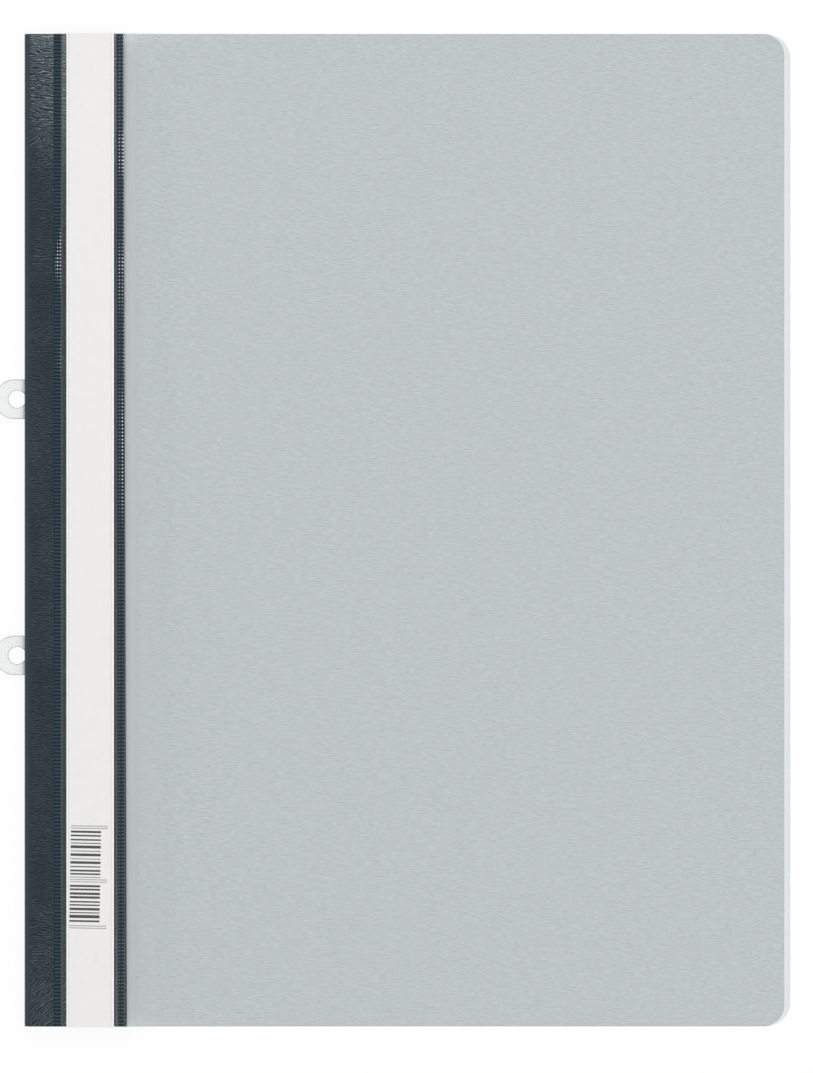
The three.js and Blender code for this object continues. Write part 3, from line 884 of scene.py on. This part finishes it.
class FOLDER_OT_label_pocket(bpy.types.Operator):
    """Builds the ribbed window of the label pocket and the card in it"""

    bl_idname = "folder.label_pocket"
    bl_label = "Label pocket"

    def execute(self, context):
        pocket = context.scene.folder_pocket
        spine = context.scene.folder_spine
        self.window(pocket, spine)
        self.card(pocket)
        return {"FINISHED"}

    def window(self, pocket, spine):
        """The window's level over x is a run of eased steps: low in both seams, high over the
        label. In a seam, ribs rise by h cos^2(pi y / p), cut off steeply at both rails."""
        left, right = LEFT_SEAM, RIGHT_SEAM
        thickness = pocket.film
        seam_depth = 0.4 * MM
        edge_lift = 0.12 * MM
        ramp = 0.6 * MM
        lead = 0.3 * MM
        rail = 0.45 * MM
        inset = 0.15 * MM
        high = WINDOW[1].z - thickness
        low = high - seam_depth
        edge = low + edge_lift
        stops = [left[0], left[1] - lead, left[1] + ramp, right[0] - ramp]
        stops += [right[0] + lead, right[1] - lead, WINDOW[1].x - FOLD_X]
        counts = (12, 4, 4, 4, 11, 4)
        spans = [np.linspace(*ends, count) for *ends, count in zip(stops, stops[1:], counts)]
        across = np.unique(np.concatenate(spans))
        raised = ease((across - left[1] + lead) / (ramp + lead))
        raised = raised - ease((across - right[0] + ramp) / (ramp + lead))
        lifted = ease((across - right[1] + lead) / lead)
        level = low + (high - low) * raised + (edge - low) * lifted
        rows = heights(HALF_HEIGHT, pocket.rib_pitch / pocket.rib_rows)
        ridge = np.cos(math.pi * rows / pocket.rib_pitch) ** 2
        body = np.zeros_like(across)
        for (start, end), share in ((left, 0.55), (right, 1.0)):
            inside = ease((across - start - inset) / (rail / 2))
            inside = inside * (1 - ease((across - end + inset + rail / 2) / (rail / 2)))
            body = body + inside * share
        x = np.broadcast_to(FOLD_X + across, (len(rows), len(across)))
        y = np.broadcast_to(rows[:, None], x.shape)
        top = level + thickness + pocket.rib_rise * ridge[:, None] * body[None, :]
        upper = np.stack([x, y, top], axis=-1)
        under = np.cumsum([0, *[count - 1 for count in counts]])
        lower = np.stack([x, y, np.broadcast_to(level, x.shape)], axis=-1)[:, under]
        count = len(rows) * len(across)
        narrow = len(under)
        quads = [
            grid_quads(len(rows), len(across)).reshape(-1, 4),
            grid_quads(len(rows), narrow, count).reshape(-1, 4)[:, ::-1],
        ]
        i = np.arange(len(rows) - 1)
        wide = len(across)
        left_wall = [count + (i + 1) * narrow, count + i * narrow, i * wide, (i + 1) * wide]
        last, low_last = wide - 1, narrow - 1
        right_wall = [
            count + i * narrow + low_last,
            count + (i + 1) * narrow + low_last,
            (i + 1) * wide + last,
            i * wide + last,
        ]
        quads += [np.stack(left_wall, axis=-1), np.stack(right_wall, axis=-1)]
        head = (len(rows) - 1) * wide
        low_head = count + (len(rows) - 1) * narrow
        foot_cap = [*range(count, count + narrow), *range(wide - 1, -1, -1)]
        head_cap = [*range(head, head + wide), *range(low_head + narrow - 1, low_head - 1, -1)]
        points = np.concatenate([upper.reshape(-1, 3), lower.reshape(-1, 3)])
        piece = mesh_object("window_film", points, np.concatenate(quads), [foot_cap, head_cap])
        dark_left = (left[0] / MM - 0.2, left[1] / MM + 0.3)
        dark_right = (right[0] / MM - 0.5, right[1] / MM + 0.2)
        finish = window_finish(pocket, spine, (dark_left, dark_right))
        piece.data.materials.append(finish)
        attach(piece, "front")
        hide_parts("label_window")

    def card(self, pocket):
        """A flat card as high as the source's, a little to the right of it."""
        rows = heights(LABEL[1].y, 2 * MM)
        across = np.linspace(LABEL[0].x + 0.27 * MM, LABEL[1].x + 0.12 * MM, 9)
        x = np.broadcast_to(across, (len(rows), len(across)))
        y = np.broadcast_to(rows[:, None], x.shape)
        bottom = np.stack([x, y, np.full(x.shape, LABEL[0].z)], axis=-1)
        top = bottom + np.array([0, 0, LABEL[1].z - LABEL[0].z])
        piece = closed_sheet("label_card", top, bottom)
        piece.data.materials.append(card_finish(pocket))
        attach(piece, "front")
        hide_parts("label_insert")


class FOLDER_OT_filing_parts(bpy.types.Operator):
    """Builds the eyelet strip, the prong band and its cover bar"""

    bl_idname = "folder.filing_parts"
    bl_label = "Filing parts"

    def execute(self, context):
        filing = context.scene.folder_filing
        for node, name, finish, slot in (
            ("filing_strip", "eyelet_strip", strip_finish, "filing_strip"),
            ("prong_band", "fastener_band", steel_finish, "steel_band"),
            ("prong_cover_bar", "fastener_bar", bar_finish, "cover_bar"),
        ):
            piece = dressed_copy(node, name, filing.edge)
            piece.data.materials.append(finish(filing))
            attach(piece, "back")
            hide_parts(node)
        return {"FINISHED"}


class FOLDER_OT_stage(bpy.types.Operator):
    """Makes the floor, the light and the camera"""

    bl_idname = "folder.stage"
    bl_label = "Stage"

    def execute(self, context):
        stage = context.scene.folder_stage
        self.floor()
        self.sky(context.scene, stage)
        for name, place, size in LAMPS:
            self.lamp(name, place, size, stage.lamp)
        self.camera(context.scene, stage)
        return {"FINISHED"}

    def floor(self):
        """A flat square well wider than any view, white to the camera, that keeps the shadow."""
        reach = 6.0
        corners = np.array([[-1, -1], [1, -1], [1, 1], [-1, 1]]) * reach
        level = -0.05 * MM
        points = np.column_stack([corners, np.full(4, level)])
        floor = mesh_object("floor", points, np.array([[0, 1, 2, 3]]))
        finish = Finish("white floor", Base_Color=(0.97, 0.97, 0.97), Roughness=0.9)
        seen = 0.0
        for ray in ("Is Camera Ray", "Is Glossy Ray", "Is Transmission Ray"):
            seen = seen + finish.node("ShaderNodeLightPath", {}, {}, ray)
        glow = finish.node("ShaderNodeEmission", {}, {"Color": (1, 1, 1), "Strength": 1.0})
        plain = Value(finish, finish.shader.outputs[0])
        share = seen.limited() * 0.9
        mixed = finish.node("ShaderNodeMixShader", {}, {0: share, 1: plain, 2: glow})
        output = finish.tree.nodes["Material Output"]
        finish.feed(output.inputs["Surface"], mixed)
        floor.data.materials.append(finish.material)

    def sky(self, scene, stage):
        """Even light from all round, weaker from overhead, where the camera hangs."""
        world = bpy.data.worlds.new("even light")
        scene.world = world
        sky = Finish.on(world)
        toward = sky.node("ShaderNodeTexCoord", {}, {}, "Generated")
        overhead = ((sky.apart(toward)[2] - 0.87) / 0.11).limited()
        light = stage.sky + overhead * (stage.zenith - stage.sky)
        seen = sky.node("ShaderNodeLightPath", {}, {}, "Is Camera Ray")
        back = sky.tree.nodes["Background"]
        sky.feed(back.inputs["Strength"], light + seen * (1.0 - light))
        sky.feed(back.inputs["Color"], (1, 1, 1))

    def lamp(self, name, place, size, power):
        """A round soft lamp that points at the frame's origin."""
        data = bpy.data.lights.new(name, "AREA")
        data.shape = "DISK"
        data.size = size
        data.energy = power
        lamp = bpy.data.objects.new(name, data)
        lamp.location = place
        away = -lamp.location.normalized()
        lamp.rotation_euler = away.to_track_quat("-Z", "Y").to_euler()
        bpy.context.scene.collection.objects.link(lamp)

    def camera(self, scene, stage):
        """A camera straight above the folder: its lens is w d / h, for a sensor w wide, at a
        distance d, where the picture's longer side shows h."""
        data = bpy.data.cameras.new("camera")
        data.sensor_width = 36
        data.lens = data.sensor_width * stage.camera_height / stage.view_height
        data.clip_end = 20
        camera = bpy.data.objects.new("camera", data)
        camera.location = (stage.camera_x, stage.camera_y, stage.camera_height)
        scene.collection.objects.link(camera)
        scene.camera = camera
        scene.view_settings.view_transform = "Standard"


class FOLDER_PT_panel(bpy.types.Panel):
    """Lists the folder's parts and their settings"""

    bl_idname = "FOLDER_PT_panel"
    bl_label = "Clear View Folder"
    bl_space_type = "VIEW_3D"
    bl_region_type = "UI"
    bl_category = "Folder"

    def draw(self, context):
        for name in SETTINGS:
            group = getattr(context.scene, name)
            column = self.layout.column()
            for key in group.__annotations__:
                column.prop(group, key)
        for operator in OPERATORS:
            self.layout.operator(operator.bl_idname)


SETTINGS = {
    "folder_covers": CoverSettings,
    "folder_spine": SpineSettings,
    "folder_pocket": PocketSettings,
    "folder_filing": FilingSettings,
    "folder_stage": StageSettings,
}
OPERATORS = (
    FOLDER_OT_grey_cover,
    FOLDER_OT_clear_cover,
    FOLDER_OT_spine_film,
    FOLDER_OT_label_pocket,
    FOLDER_OT_filing_parts,
    FOLDER_OT_stage,
)
CLASSES = (*SETTINGS.values(), *OPERATORS, FOLDER_PT_panel)


def register():
    for each in CLASSES:
        bpy.utils.register_class(each)
    for name, group in SETTINGS.items():
        setattr(bpy.types.Scene, name, PointerProperty(type=group))


def unregister():
    for name in SETTINGS:
        delattr(bpy.types.Scene, name)
    for each in reversed(CLASSES):
        bpy.utils.unregister_class(each)


def main():
    register()
    bpy.ops.folder.grey_cover()
    bpy.ops.folder.clear_cover()
    bpy.ops.folder.spine_film()
    bpy.ops.folder.label_pocket()
    bpy.ops.folder.filing_parts()
    bpy.ops.folder.stage()


if __name__ == "__main__":
    main()
